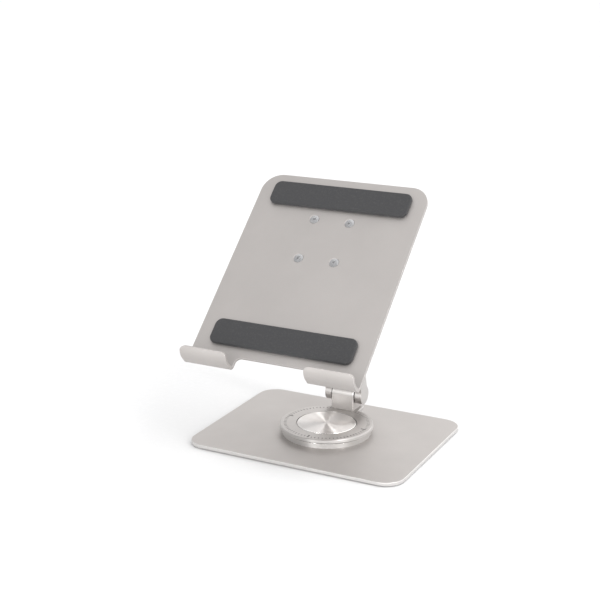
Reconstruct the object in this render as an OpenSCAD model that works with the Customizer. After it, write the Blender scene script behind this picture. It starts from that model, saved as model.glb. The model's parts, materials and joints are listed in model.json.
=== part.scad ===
// Folding tablet stand: a flat base, a full-turn swivel, an arm hinged at both ends
// and a cradle with two hooks.
// X runs left to right, Y front to back, Z up. The origin is on the resting face, on the swivel's axis.

/* [Base] */
// Width of the base plate
base_w = 127; // [110:1:150]
// Depth of the base plate
base_d = 98.5; // [85:0.5:120]
// Thickness of the base plate
base_t = 2; // [2:0.5:4]
// Corner radius of the base plate
base_r = 11; // [4:1:20]
// Thickness of the anti-slip pad under the plate
foot_t = 0.5; // [0.4:0.1:3]
// How far the anti-slip pad stays in from the plate's edge
foot_inset = 1.5; // [1:0.5:6]

/* [Swivel] */
// Diameter of the fixed seat ring
ring_d = 49.5; // [47:0.5:51]
// Height of the fixed seat ring
ring_h = 3.5; // [3:0.1:5]
// Diameter of the turning disc
disc_d = 52.4; // [52:0.2:60]
// Thickness of the turning disc's rim
rim_t = 2; // [1.8:0.1:3]
// Diameter of the centre cap
cap_d = 33.2; // [32:0.1:33.6]

/* [Hinges] */
// Width of each hinge's middle knuckle
knuckle_w = 13.6; // [12:0.2:18]
// Thickness of each ear of the arm
ear_t = 4; // [3.8:0.1:5]
// Radius of the arm's ears
ear_r = 5.3; // [5:0.1:6]
// Depth of the lower hinge block, front to back
block_d = 11.9; // [11:0.1:12.4]
// Distance of the lower hinge axis behind the swivel axis
axis_back = 26.4; // [26:0.1:28]
// Height of the lower hinge axis above the turning disc
axis_rise = 9.25; // [9:0.25:12]

/* [Arm] */
// Distance between the arm's two hinge axes
arm_len = 91.5; // [88:0.5:110]
// Thickness of the arm between its ends
arm_t = 8; // [6:0.5:9]
// Forward lean of the arm from upright
arm_lean = 15.3; // [0:0.1:30]

/* [Cradle] */
// Width of the cradle plate
cradle_w = 99; // [90:1:110]
// Height of the cradle plate above its hooks
cradle_h = 125; // [118:1:140]
// Thickness of the cradle's sheet
sheet_t = 1.5; // [1.4:0.1:2]
// Backward lean of the cradle from upright
cradle_lean = 47.4; // [35:0.1:60]
// Height of the upper hinge above the underside of the hooks
hinge_h = 85; // [70:1:90]
// Width of each hook
hook_w = 27.4; // [20:0.1:32]
// Depth of each hook to the start of its straight tip
hook_d = 15; // [14:0.1:18]
// Angle that each hook's lip turns up
lip_turn = 47.5; // [40:0.5:60]

/* [Hidden] */

$fn = 96;
eps = 0.01;

// Heights from the resting face
plate_z = foot_t + base_t;
ring_top = plate_z + ring_h;
rim_z = ring_top + 0.25;
disc_top = rim_z + rim_t;
axis_z = disc_top + axis_rise;

// Small countersunk screws, and the holes that they sit in
small_screw_r = 1.25;
small_hole_r = small_screw_r + 0.05;
small_head_r = 2.4;
small_sink_r = 2.5;
head_h = 1.15;
sink_h = 1.2;
// Room between a shank and the solid that it grips
thread_gap = 0.02;

// Swivel
ring_r = ring_d / 2;
bore_r = 19;
disc_r = disc_d / 2;
rim_chamfer = 0.8;
hub_r = bore_r - 0.4;
hub_z = plate_z + 0.6;
hub_floor = 1.6;
spring_z = hub_z + hub_floor + 0.05;
seat_r = 17.05;
seat_depth = 1.25;
well_r = 13;
cap_skirt_r = well_r - 0.03;
pivot_r = 5;
pivot_bore_r = 5.06;
spigot_r = 3;
spigot_head_r = 4.6;
pivot_h = 4.1;
glide_t = 0.55;
spring_t = 0.5;
spring_r = 9.5;
nut_t = 1.25;
nut_r = 7.6;
cap_skirt_h = 0.9;
cap_skirt_t = 0.77;
// How far the seat screws reach into the ring, and how deep their holes are
ring_bite = 2.4;
ring_hole_h = 2.6;
screw_circle_r = (bore_r + ring_r) / 2;
tongue_w = 16.4;
tongue_end = axis_back + 7.6;
tongue_r = 2.5;

// Hinges
pin_r = 2.5;
pin_bore_r = 2.55;
washer_gap = 0.5;
ear_in = knuckle_w / 2 + washer_gap;
ear_out = ear_in + ear_t;
sink_r = 4;
sink_depth = 2.6;
sink_floor = ear_out - sink_depth;
fork_depth = 7.2;
// Half the size of the cutter that opens each fork, well past the ear
fork_reach = 10;
block_screw_x = 4.2;
block_screw_y = axis_back + 3;
// How far the block screws reach into the block, and how deep their holes are
block_bite = 4.6;
block_hole_h = 5;
pin_head_r = sink_r - 0.3;
pin_head_h = 1.5;
// How far the pin's threaded end passes the floor of its ear's sink
pin_tail = 1.7;
pin_nut_r = sink_r - 0.2;
pin_nut_t = 1.2;
pin_spring_t = 0.45;
end_cap_t = 0.75;

// Cradle, in a frame with the upper hinge axis at its origin and the plate upright
plate_back = -10;
plate_front = plate_back - sheet_t;
flange_t = 3;
flange_w = 28;
flange_h = 34;
flange_corner_r = 3;
plate_screw_r = 1.5;
plate_shank_r = plate_screw_r - thread_gap;
plate_head_r = 2.8;
plate_sink_r = 2.85;
// How far the plate screws reach into the bracket, and how deep their holes are
bracket_bite = 2.3;
bracket_hole_h = 2.5;
bracket_screw_x = 10.5;
bracket_screw_z = 12.8;
hook_z = -hinge_h;
edge_z = hook_z + 8;
plate_top = hook_z + cradle_h;
plate_corner_r = 11;
heel_r = 3.1;
toe_r = 8.75;
tip_len = 1.14;
toe_y = plate_back - hook_d + toe_r;
hook_out = cradle_w / 2;
hook_in = hook_out - hook_w;
pad_t = 2.2;
pad_w = 82;
pad_h = 15;
pad_corner_r = 4;
pad_from_edge = 13;
top_pad_z = plate_top - pad_from_edge;
bottom_pad_z = edge_z + pad_from_edge;
liner_t = 0.7;
liner_inset = 1.2;
// Degrees of the toe bend that the liner stops short of the lip's tip
liner_short = 6;

// A rectangle with true round corners
module round_rect(w, d, r) {
  square([w - 2 * r, d], center = true);
  square([w, d - 2 * r], center = true);
  for (x = [-1, 1], y = [-1, 1])
    translate([x * (w / 2 - r), y * (d / 2 - r)]) circle(r);
}

// Extrudes an outline drawn in (Y, Z) along X, from x0 to x1
module along_x(x0, x1) {
  translate([x0, 0, 0]) rotate([90, 0, 90]) linear_extrude(x1 - x0) children();
}

// A cylinder along X from x0 to x1
module rod_x(r, x0, x1) {
  translate([x0, 0, 0]) rotate([0, 90, 0]) cylinder(h = x1 - x0, r = r);
}

// A tube along X from x0 to x1
module tube_x(r_out, r_in, x0, x1) {
  difference() {
    rod_x(r_out, x0, x1);
    rod_x(r_in, x0 - eps, x1 + eps);
  }
}

// A countersunk screw whose head is down at z = 0 and whose shank points up
module countersunk_screw(shank_r, head_r, length) {
  cylinder(h = head_h, r1 = head_r, r2 = shank_r - thread_gap);
  cylinder(h = length, r = shank_r - thread_gap);
}

// The cutter for a small screw's hole, countersunk from below, through a plate of that thickness
module small_screw_hole(thickness) {
  translate([0, 0, -eps]) {
    cylinder(h = thickness + 2 * eps, r = small_hole_r);
    cylinder(h = sink_h, r1 = small_sink_r, r2 = small_hole_r);
  }
}

// A flat ring standing on z = 0
module washer(thickness, r_out, r_in) {
  difference() {
    cylinder(h = thickness, r = r_out);
    translate([0, 0, -eps]) cylinder(h = thickness + 2 * eps, r = r_in);
  }
}

// A hexagon nut standing on z = 0
module hexagon_nut(thickness, r_out, r_in) {
  difference() {
    cylinder(h = thickness, r = r_out, $fn = 6);
    translate([0, 0, -eps]) cylinder(h = thickness + 2 * eps, r = r_in);
  }
}

// Frames that the pieces are drawn in
module at_lower_hinge() {
  translate([0, axis_back, axis_z]) children();
}
module at_arm() {
  at_lower_hinge() rotate([arm_lean, 0, 0]) children();
}
module at_upper_hinge() {
  at_arm() translate([0, 0, arm_len]) children();
}
module at_cradle() {
  at_upper_hinge() rotate([-arm_lean - cradle_lean, 0, 0]) children();
}

// Base -------------------------------------------------------------------
module seat_screw_places() {
  for (a = [30, 150, 270]) rotate([0, 0, a]) translate([screw_circle_r, 0, 0]) children();
}

module base_plate() {
  color("silver") translate([0, 0, foot_t]) difference() {
    linear_extrude(base_t) round_rect(base_w, base_d, base_r);
    translate([0, 0, -eps]) cylinder(h = base_t + 2 * eps, r = spigot_r);
    translate([0, 0, -eps]) cylinder(h = sink_h, r1 = spigot_head_r + 0.1, r2 = spigot_r);
    seat_screw_places() small_screw_hole(base_t);
  }
}

module base_pad() {
  color("dimgray") linear_extrude(foot_t)
    round_rect(base_w - 2 * foot_inset, base_d - 2 * foot_inset, base_r - foot_inset);
}

module seat_ring() {
  color("silver") translate([0, 0, plate_z]) difference() {
    cylinder(h = ring_h, r = ring_r);
    translate([0, 0, -eps]) cylinder(h = ring_h + 2 * eps, r = bore_r);
    seat_screw_places() translate([0, 0, -eps]) cylinder(h = ring_hole_h, r = small_screw_r);
  }
}

module seat_screws() {
  color("gray") seat_screw_places() translate([0, 0, foot_t])
    countersunk_screw(small_screw_r, small_head_r, base_t + ring_bite);
}

module swivel_pivot() {
  color("gray") {
    translate([0, 0, plate_z]) cylinder(h = pivot_h, r = pivot_r);
    translate([0, 0, foot_t]) countersunk_screw(spigot_r, spigot_head_r, base_t + 0.5);
  }
}

module glide_washer() {
  color("white") translate([0, 0, plate_z]) washer(glide_t, hub_r - 0.6, pivot_r + 0.2);
}

module swivel_spring_washer() {
  color("gray") translate([0, 0, spring_z]) washer(spring_t, spring_r, pivot_r + 0.1);
}

module swivel_nut() {
  color("gray") translate([0, 0, spring_z + spring_t]) hexagon_nut(nut_t, nut_r, pivot_r + thread_gap);
}

// Turntable --------------------------------------------------------------
module disc_profile() {
  polygon([
    [pivot_bore_r, hub_z], [hub_r, hub_z], [hub_r, rim_z], [disc_r, rim_z],
    [disc_r, disc_top - rim_chamfer], [disc_r - rim_chamfer, disc_top],
    [seat_r, disc_top], [seat_r, disc_top - seat_depth],
    [well_r, disc_top - seat_depth], [well_r, hub_z + hub_floor], [pivot_bore_r, hub_z + hub_floor]
  ]);
}

// The lug at the disc's rear, which carries the hinge block
module tongue_outline() {
  front = 20;
  translate([0, (front + tongue_end) / 2]) round_rect(tongue_w, tongue_end - front, tongue_r);
}

module block_screw_places() {
  for (x = [-1, 1]) translate([x * block_screw_x, block_screw_y, 0]) children();
}

module swivel_disc() {
  color("silver") difference() {
    union() {
      rotate_extrude() disc_profile();
      translate([0, 0, rim_z]) linear_extrude(rim_t) tongue_outline();
    }
    block_screw_places() translate([0, 0, rim_z]) small_screw_hole(rim_t);
  }
}

module centre_cap() {
  color("silver") {
    translate([0, 0, disc_top - seat_depth]) cylinder(h = seat_depth, r = cap_d / 2);
    translate([0, 0, disc_top - seat_depth - cap_skirt_h])
      washer(cap_skirt_h + eps, cap_skirt_r, cap_skirt_r - cap_skirt_t);
  }
}

module hinge_block() {
  color("silver") difference() {
    along_x(-knuckle_w / 2, knuckle_w / 2) {
      translate([axis_back - block_d / 2, disc_top]) square([block_d, axis_rise]);
      translate([axis_back, axis_z]) circle(block_d / 2);
    }
    at_lower_hinge() rod_x(pin_bore_r, -knuckle_w, knuckle_w);
    block_screw_places() translate([0, 0, disc_top - eps]) cylinder(h = block_hole_h, r = small_screw_r);
  }
}

module block_screws() {
  color("gray") block_screw_places() translate([0, 0, rim_z])
    countersunk_screw(small_screw_r, small_head_r, rim_t + block_bite);
}

// Arm and hinge hardware ---------------------------------------------------
module arm() {
  color("silver") at_arm() difference() {
    along_x(-ear_out, ear_out) {
      circle(ear_r);
      translate([0, arm_len]) circle(ear_r);
      translate([-arm_t / 2, 0]) square([arm_t, arm_len]);
    }
    for (z = [0, arm_len], side = [-1, 1]) translate([0, 0, z]) {
      rod_x(pin_r + thread_gap, -ear_out - eps, ear_out + eps);
      mirror([side < 0 ? 1 : 0, 0, 0]) rod_x(sink_r, sink_floor, ear_out + 1);
    }
    along_x(-ear_in, ear_in) {
      translate([-fork_reach, -fork_reach]) square([2 * fork_reach, fork_reach + fork_depth]);
      translate([-fork_reach, arm_len - fork_depth]) square([2 * fork_reach, fork_reach + fork_depth]);
    }
  }
}

// A shoulder pin with its head to the right
module pin() {
  rod_x(pin_r, -sink_floor - pin_tail, sink_floor);
  rod_x(pin_head_r, sink_floor, sink_floor + pin_head_h);
}

module pin_spring_washer() {
  tube_x(pin_head_r, pin_r + 0.05, -sink_floor - pin_spring_t, -sink_floor);
}

module pin_nut() {
  translate([-sink_floor - pin_spring_t - pin_nut_t, 0, 0]) rotate([0, 90, 0])
    hexagon_nut(pin_nut_t, pin_nut_r, pin_r + thread_gap);
}

module friction_washers() {
  for (side = [0, 1]) mirror([side, 0, 0])
    tube_x(ear_r - 0.4, pin_r + 0.06, knuckle_w / 2 + 0.05, ear_in);
}

module end_caps() {
  for (side = [0, 1]) mirror([side, 0, 0]) rod_x(sink_r - 0.04, ear_out - end_cap_t, ear_out);
}

module lower_pin() { color("gray") at_arm() pin(); }
module lower_pin_nut() { color("gray") at_arm() pin_nut(); }
module lower_spring_washer() { color("gray") at_arm() pin_spring_washer(); }
module lower_friction_washers() { color("dimgray") at_arm() friction_washers(); }
module lower_end_caps() { color("silver") at_arm() end_caps(); }
module upper_pin() { color("gray") at_upper_hinge() pin(); }
module upper_pin_nut() { color("gray") at_upper_hinge() pin_nut(); }
module upper_spring_washer() { color("gray") at_upper_hinge() pin_spring_washer(); }
module upper_friction_washers() { color("dimgray") at_upper_hinge() friction_washers(); }
module upper_end_caps() { color("silver") at_upper_hinge() end_caps(); }

// Cradle -------------------------------------------------------------------
module bracket_screw_places() {
  for (x = [-1, 1], z = [-1, 1]) translate([x * bracket_screw_x, 0, z * bracket_screw_z]) children();
}

// A cylinder or cone along +Y from y0, for the screws through the cradle plate
module cone_y(y0, length, r1, r2) {
  translate([0, y0, 0]) rotate([-90, 0, 0]) cylinder(h = length, r1 = r1, r2 = r2);
}

module hinge_bracket() {
  color("silver") at_cradle() difference() {
    union() {
      along_x(-knuckle_w / 2, knuckle_w / 2) {
        circle(ear_r);
        translate([plate_back, -ear_r]) square([-plate_back, 2 * ear_r]);
      }
      translate([0, plate_back + flange_t, 0]) rotate([90, 0, 0])
        linear_extrude(flange_t) round_rect(flange_w, flange_h, flange_corner_r);
    }
    rod_x(pin_bore_r, -knuckle_w, knuckle_w);
    bracket_screw_places() cone_y(plate_back - eps, bracket_hole_h, plate_screw_r, plate_screw_r);
  }
}

module bracket_screws() {
  color("gray") at_cradle() bracket_screw_places() {
    cone_y(plate_front, sink_h, plate_head_r, plate_shank_r);
    cone_y(plate_front, sheet_t + bracket_bite, plate_shank_r, plate_shank_r);
  }
}

// Points along an arc about c, from angle a0 to a1
function arc(c, r, a0, a1, steps = 12) =
  [for (i = [0:steps]) let (a = a0 + (a1 - a0) * i / steps) c + r * [cos(a), sin(a)]];

// One face of a hook in (Y, Z), inset from its underside: down the plate, round the heel bend, along the flat
// shelf, round the toe bend by turn degrees and out to the tip
function heel_path(inset) = arc([plate_back - heel_r, hook_z + heel_r], heel_r - inset, 0, -90);
function toe_path(inset, turn) = arc([toe_y, hook_z + toe_r], toe_r - inset, -90, -90 - turn);
function tip_point(inset) =
  [toe_y, hook_z + toe_r] + (toe_r - inset) * [-sin(lip_turn), -cos(lip_turn)]
  + tip_len * [-cos(lip_turn), sin(lip_turn)];
function reversed(points) = [for (i = [len(points) - 1:-1:0]) points[i]];

// A hook bent from the sheet, with the strip that joins it to the plate
module hook_outline() {
  top = edge_z + plate_corner_r;
  polygon(concat(
    [[plate_back, top]], heel_path(0), toe_path(0, lip_turn), [tip_point(0)],
    [tip_point(sheet_t)], reversed(toe_path(sheet_t, lip_turn)), reversed(heel_path(sheet_t)),
    [[plate_front, top]]
  ));
}

// The liner lies on the inside of the shelf and of most of the toe bend
module liner_outline() {
  turn = lip_turn - liner_short;
  heel_end = [plate_back - heel_r, hook_z];
  polygon(concat(
    [heel_end + [0, sheet_t]], toe_path(sheet_t, turn), reversed(toe_path(sheet_t + liner_t, turn)),
    [heel_end + [0, sheet_t + liner_t]]
  ));
}

module cradle_plate() {
  color("silver") at_cradle() difference() {
    union() {
      translate([0, plate_back, (edge_z + plate_top) / 2]) rotate([90, 0, 0])
        linear_extrude(sheet_t) round_rect(cradle_w, plate_top - edge_z, plate_corner_r);
      for (side = [0, 1]) mirror([side, 0, 0]) along_x(hook_in, hook_out) hook_outline();
    }
    bracket_screw_places() {
      cone_y(plate_front - eps, sheet_t + 2 * eps, plate_screw_r, plate_screw_r);
      cone_y(plate_front - eps, sink_h + 0.05, plate_sink_r, plate_screw_r);
    }
  }
}

module back_pad(z) {
  color("dimgray") at_cradle() translate([0, plate_front, z]) rotate([90, 0, 0])
    linear_extrude(pad_t) round_rect(pad_w, pad_h, pad_corner_r);
}

module top_back_pad() { back_pad(top_pad_z); }
module bottom_back_pad() { back_pad(bottom_pad_z); }

module hook_liner(side) {
  color("dimgray") at_cradle() mirror([side < 0 ? 1 : 0, 0, 0])
    along_x(hook_in + liner_inset, hook_out - liner_inset) liner_outline();
}

module left_hook_liner() { hook_liner(-1); }
module right_hook_liner() { hook_liner(1); }

base_plate();
base_pad();
seat_ring();
seat_screws();
swivel_pivot();
glide_washer();
swivel_spring_washer();
swivel_nut();
swivel_disc();
centre_cap();
hinge_block();
block_screws();
arm();
lower_pin();
lower_pin_nut();
lower_spring_washer();
lower_friction_washers();
lower_end_caps();
upper_pin();
upper_pin_nut();
upper_spring_washer();
upper_friction_washers();
upper_end_caps();
hinge_bracket();
bracket_screws();
cradle_plate();
top_back_pad();
bottom_back_pad();
left_hook_liner();
right_hook_liner();
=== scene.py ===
"""Looks of the tablet stand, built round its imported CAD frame.

Shapes are worked out in millimetres and scaled to metres when a piece is made.
The cradle's pieces are drawn in a frame with the upper hinge axis at its origin and the plate upright,
and the arm's in a frame with the lower hinge axis at its origin and the arm upright.
"""

import json
import math

import bmesh
import bpy
from mathutils import Matrix, Vector


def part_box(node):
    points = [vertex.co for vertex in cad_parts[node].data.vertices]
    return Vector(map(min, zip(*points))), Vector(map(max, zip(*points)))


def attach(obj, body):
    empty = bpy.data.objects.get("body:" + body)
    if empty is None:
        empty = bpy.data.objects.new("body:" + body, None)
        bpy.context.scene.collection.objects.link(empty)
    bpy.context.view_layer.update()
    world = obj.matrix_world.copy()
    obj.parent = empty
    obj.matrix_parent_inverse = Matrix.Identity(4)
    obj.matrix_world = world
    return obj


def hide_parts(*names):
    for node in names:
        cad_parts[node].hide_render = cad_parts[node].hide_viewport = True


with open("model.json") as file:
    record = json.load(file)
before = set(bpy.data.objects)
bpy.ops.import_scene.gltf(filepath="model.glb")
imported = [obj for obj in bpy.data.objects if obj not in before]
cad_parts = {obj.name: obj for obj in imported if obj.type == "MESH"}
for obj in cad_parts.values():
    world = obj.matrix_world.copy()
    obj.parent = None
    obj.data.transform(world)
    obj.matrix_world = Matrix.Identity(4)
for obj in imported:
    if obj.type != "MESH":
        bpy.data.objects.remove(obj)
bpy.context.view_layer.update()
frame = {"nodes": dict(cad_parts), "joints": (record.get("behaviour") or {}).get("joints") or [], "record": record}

MM = 0.001
SEGMENTS = 128

# Kinds of face. Each finish lists its materials in this order.
FACE, EDGE, MARKED = 0, 1, 2

# Sizes in millimetres, and a few angles in degrees, that the node boxes don't give
EDGE_ROUND = 0.35
PAST = 0.1  # how far a cutter reaches past the face that it opens

# Base plate, base pad and seat ring
PLATE_CORNER = 11.0
PIVOT_HEAD = 4.75
PIVOT_HEAD_DEPTH = 1.2
PIVOT_HOLE = 3.0
PAD_CORNER = 9.5
PAD_CHANNEL = (4.6, 6.0)  # from and to, in from the pad's sides
SEAT_BORE = 19.0
SEAT_STEP = 1.2
SHADOW_GROOVE = 0.5
SCREW_CIRCLE = 21.875
SCREW_ANGLES = (30, 150, 270)
SCREW_HOLE = 1.3
SCREW_SINK = 2.5
SCREW_SINK_DEPTH = 1.2
SEAT_SCREW_REACH = 2.6

# Swivel disc and centre cap
PIVOT_BORE = 5.06
HUB = 18.6
HUB_FLOOR = 1.6
RIM_THICK = 2.0
RIM_CHAMFER = 0.45
CAP_SEAT = 17.05
CAP_SEAT_DEPTH = 1.25
CAP_WALL = 0.8
WELL = 13.0
TONGUE_HALF = 8.2
TONGUE_FRONT = 23.0
TONGUE_CORNER = 2.5
TICK_STEP = 5  # degrees, as the other angles of the graduations are
TICK_HALF_ANGLE = 0.45
QUARTER_HALF_ANGLE = 1.1
TICK_WALL_ANGLE = 0.2
TICK_SPAN = (22.5, 24.1)
LONG_TICK_SPAN = (21.0, 24.1)
TICK_END_WALL = 0.1
TICK_DEPTH = 0.18
TICK_COLUMNS = 5

# Hinges and arm
BLOCK_SCREWS = (4.2, 3.0)  # out from the middle, and behind the lower hinge's axis
BLOCK_SCREW_REACH = 5.0
BLOCK_ROUND = 0.4
SEAM = 0.4
KNUCKLE_HALF = 6.8
KNUCKLE_BLEND = 2.5
EAR_IN = 7.3
EAR_OUT = 11.3
EAR_RADIUS = 5.3
PIN_BORE = 2.55
ARM_BORE = 2.52
SINK_RADIUS = 4.0
SINK_FLOOR = 8.7
END_CAP = 0.75
FORK_DEPTH = 7.2
ARM_HALF = 4.0
ARM_BLEND = 4.0

# Cradle, in its own frame
CRADLE_LEAN = 47.4  # degrees
SHEET = 1.5
SHEET_ROUND = 0.32
PLATE_REAR = -10.0
PLATE_TOP = 40.0
PLATE_EDGE = -77.0
HOOK_LOW = -85.0
HOOK_IN = 22.1
HOOK_OUT = 49.5
HEEL = 3.1
TOE = 8.75
TOE_Y = -16.25
LIP_TURN = 47.5  # degrees
TIP = 1.14
LIP_CORNER = 3.0
NOTCH_FILLET = 3.0
FLANGE = (28.0, 34.0, 3.0)  # width, height and corner
FLANGE_THICK = 3.0
BRACKET_SCREWS = (10.5, 12.8)
BRACKET_SCREW_HOLE = 1.5
BACK_PAD = (82.0, 15.0, 4.0)  # width, height and corner
BACK_PAD_ROUND = 0.7
PAD_THICK = 2.2


# Frames --------------------------------------------------------------------------------------------
def box_mm(node):
    """Lowest and highest corners of a CAD node, in millimetres."""
    low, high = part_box(node)
    return low / MM, high / MM


def joint_place(name):
    """Where a joint's axis is, in millimetres."""
    return next(Vector(j["pos_m"]) / MM for j in frame["joints"] if j["name"] == name)


LOWER_AXIS = joint_place("lower_hinge")
UPPER_AXIS = joint_place("upper_hinge")
ARM_LENGTH = (UPPER_AXIS - LOWER_AXIS).length
ARM_LEAN = math.atan2(LOWER_AXIS.y - UPPER_AXIS.y, UPPER_AXIS.z - LOWER_AXIS.z)
# Stands up what is drawn lying flat, with its top to the front
UPRIGHT = Matrix.Rotation(math.radians(90), 4, "X")
AT_WORLD = Matrix.Identity(4)
AT_ARM = Matrix.Translation(LOWER_AXIS) @ Matrix.Rotation(ARM_LEAN, 4, "X")
AT_CRADLE = Matrix.Translation(UPPER_AXIS) @ Matrix.Rotation(-math.radians(CRADLE_LEAN), 4, "X")


# Outlines ------------------------------------------------------------------------------------------
def arc(centre, radius, start, end, steps=16):
    """Points along an arc, from start to end in degrees."""
    angles = [math.radians(start + (end - start) * i / steps) for i in range(steps + 1)]
    return [(centre[0] + radius * math.cos(a), centre[1] + radius * math.sin(a)) for a in angles]


def rounded(corners, steps=4):
    """Rounds each corner (a, b, radius) of an outline. Gives points (a, b, number of the corner or -1)."""
    points = []
    for i, (a, b, radius) in enumerate(corners):
        here = Vector((a, b))
        if radius <= 0:
            points.append((a, b, -1))
            continue
        back = (Vector(corners[i - 1][:2]) - here).normalized()
        ahead = (Vector(corners[(i + 1) % len(corners)][:2]) - here).normalized()
        half = back.angle(ahead) / 2
        centre = here + (back + ahead).normalized() * (radius / math.sin(half))
        start = here + back * (radius / math.tan(half)) - centre
        end = here + ahead * (radius / math.tan(half)) - centre
        first = math.degrees(math.atan2(start.y, start.x))
        sweep = (math.degrees(math.atan2(end.y, end.x)) - first + 180) % 360 - 180
        points += [(*p, i) for p in arc(centre, radius, first, first + sweep, steps)]
    return points


def round_rect(width, depth, radius, steps=16):
    """A rectangle with round corners, about the origin."""
    x, y = width / 2 - radius, depth / 2 - radius
    corners = ((x, y, 0), (-x, y, 90), (-x, -y, 180), (x, -y, 270))
    return [p for cx, cy, turn in corners for p in arc((cx, cy), radius, turn, turn + 90, steps)]


def arm_outline():
    """The arm from the side, in (y, z): a round end on each axis, blended into flat faces."""
    reach = ARM_HALF + ARM_BLEND
    rise = math.sqrt((EAR_RADIUS + ARM_BLEND) ** 2 - reach**2)
    turn = math.degrees(math.atan2(rise, reach))
    top = ARM_LENGTH - rise
    return (
        arc((0, 0), EAR_RADIUS, 180 - turn, 360 + turn, 48)
        + arc((reach, rise), ARM_BLEND, 180 + turn, 180, 6)
        + arc((reach, top), ARM_BLEND, 180, 180 - turn, 6)
        + arc((0, ARM_LENGTH), EAR_RADIUS, -turn, 180 + turn, 48)
        + arc((-reach, top), ARM_BLEND, turn, 0, 6)
        + arc((-reach, rise), ARM_BLEND, 0, -turn, 6)
    )


# Meshes --------------------------------------------------------------------------------------------
def stack(rings, edge_spans=()):
    """A closed solid from rings of points, one above the next.

    edge_spans lists the spans between rings that have the edge finish.
    """
    bm = bmesh.new()
    loops = [[bm.verts.new(p) for p in ring] for ring in rings]
    for span, (low, high) in enumerate(zip(loops, loops[1:])):
        for i in range(len(low)):
            face = bm.faces.new((low[i - 1], low[i], high[i], high[i - 1]))
            face.material_index = EDGE if span in edge_spans else FACE
    bm.faces.new(reversed(loops[0]))
    bm.faces.new(loops[-1])
    return bm


def slab(width, depth, radius, low, high, edge=EDGE_ROUND, steps=4):
    """A round-cornered slab with rounded edges, between two heights. Its sides have the edge finish."""
    turns = [math.radians(90 * i / steps) for i in range(steps + 1)]
    levels = [(edge * (1 - math.sin(t)), low + edge * (1 - math.cos(t))) for t in turns]
    levels += [(inset, low + high - z) for inset, z in reversed(levels)]
    rings = [
        [(x, y, z) for x, y in round_rect(width - 2 * inset, depth - 2 * inset, radius - inset)]
        for inset, z in levels
    ]
    return stack(rings, range(2 * steps + 1))


def full_turn(count):
    """Angles of that many even steps round a circle."""
    return [360 * i / count for i in range(count)]


def revolve(profile, angles=None, lift=None, finish=None):
    """Turns a closed profile of (radius, z, corner) about Z.

    lift(column, k) moves a column's point k up or down, and finish(column, k) gives the kind of the face
    that follows it, or None.
    """
    angles = angles or full_turn(SEGMENTS)
    bm = bmesh.new()
    columns = []
    poles = {}
    for number, angle in enumerate(angles):
        c, s = math.cos(math.radians(angle)), math.sin(math.radians(angle))
        column = []
        for k, (r, z, _) in enumerate(profile):
            if r < 1e-6:
                if k not in poles:
                    poles[k] = bm.verts.new((0, 0, z))
                column.append(poles[k])
            else:
                dz = lift(number, k) if lift else 0
                column.append(bm.verts.new((r * c, r * s, z + dz)))
        columns.append(column)
    count = len(profile)
    for i, here in enumerate(columns):
        after = columns[(i + 1) % len(columns)]
        for k in range(count):
            n = (k + 1) % count
            corners = list(dict.fromkeys((here[k], after[k], after[n], here[n])))
            if len(corners) < 3:
                continue
            face = bm.faces.new(corners)
            if profile[k][2] >= 0 and profile[k][2] == profile[n][2]:
                face.material_index = EDGE
            special = finish(i, k) if finish else None
            if special is not None:
                face.material_index = special
    return bm


def prism_x(outline, x0, x1):
    """A prism along X with an outline in (y, z)."""
    return stack([[(x, y, z) for y, z in outline] for x in (x0, x1)])


def rod_x(radius, x0, x1, y=0.0, z=0.0, steps=48):
    """A cylinder along X, used to cut bores."""
    return prism_x(arc((y, z), radius, 0, 360 - 360 / steps, steps - 1), x0, x1)


def cone_z(x, y, levels, steps=32):
    """A solid of revolution about a vertical line, with (z, radius) levels, used to cut screw holes."""
    rings = []
    for z, radius in levels:
        circle = arc((x, y), radius, 0, 360 - 360 / steps, steps - 1)
        rings.append([(px, py, z) for px, py in circle])
    return stack(rings)


def joined(*parts):
    """Several meshes in one, which stay separate solids."""
    bm = bmesh.new()
    for part in parts:
        mesh = bpy.data.meshes.new("part")
        part.to_mesh(mesh)
        part.free()
        bm.from_mesh(mesh)
        bpy.data.meshes.remove(mesh)
    return bm


def moved(bm, matrix):
    """The mesh, moved by a matrix. A mirrored mesh keeps its faces outwards."""
    bm.transform(matrix)
    if matrix.determinant() < 0:
        bmesh.ops.reverse_faces(bm, faces=bm.faces)
    return bm


def mirrored_x(bm):
    """The mesh and its mirror image across the stand's middle plane."""
    return joined(bm.copy(), moved(bm, Matrix.Scale(-1, 4, (1, 0, 0))))


def scratch_object(bm):
    """A passing object that holds the mesh, for a modifier to work on."""
    mesh = bpy.data.meshes.new("scratch")
    bmesh.ops.recalc_face_normals(bm, faces=bm.faces)
    bm.to_mesh(mesh)
    bm.free()
    obj = bpy.data.objects.new("scratch", mesh)
    bpy.context.scene.collection.objects.link(obj)
    return obj


def combined(bm, tool, operation="DIFFERENCE"):
    """bm with another mesh cut from it or joined to it."""
    base = scratch_object(bm)
    other = scratch_object(tool)
    modifier = base.modifiers.new("combine", "BOOLEAN")
    modifier.operation = operation
    modifier.solver = "EXACT"
    modifier.object = other
    evaluated = base.evaluated_get(bpy.context.evaluated_depsgraph_get())
    result = bmesh.new()
    result.from_mesh(evaluated.to_mesh())
    evaluated.to_mesh_clear()
    for obj in (base, other):
        mesh = obj.data
        bpy.data.objects.remove(obj)
        bpy.data.meshes.remove(mesh)
    return result


def rounded_edges(bm, width, steps, angle):
    """Rounds the edges that turn by more than angle, and gives them the edge finish."""
    bmesh.ops.bevel(
        bm,
        geom=[edge for edge in bm.edges if edge.calc_face_angle(0) > math.radians(angle)],
        offset=width,
        offset_type="OFFSET",
        segments=steps,
        profile=0.5,
        affect="EDGES",
        clamp_overlap=True,
        material=EDGE,
    )
    return bm


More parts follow.
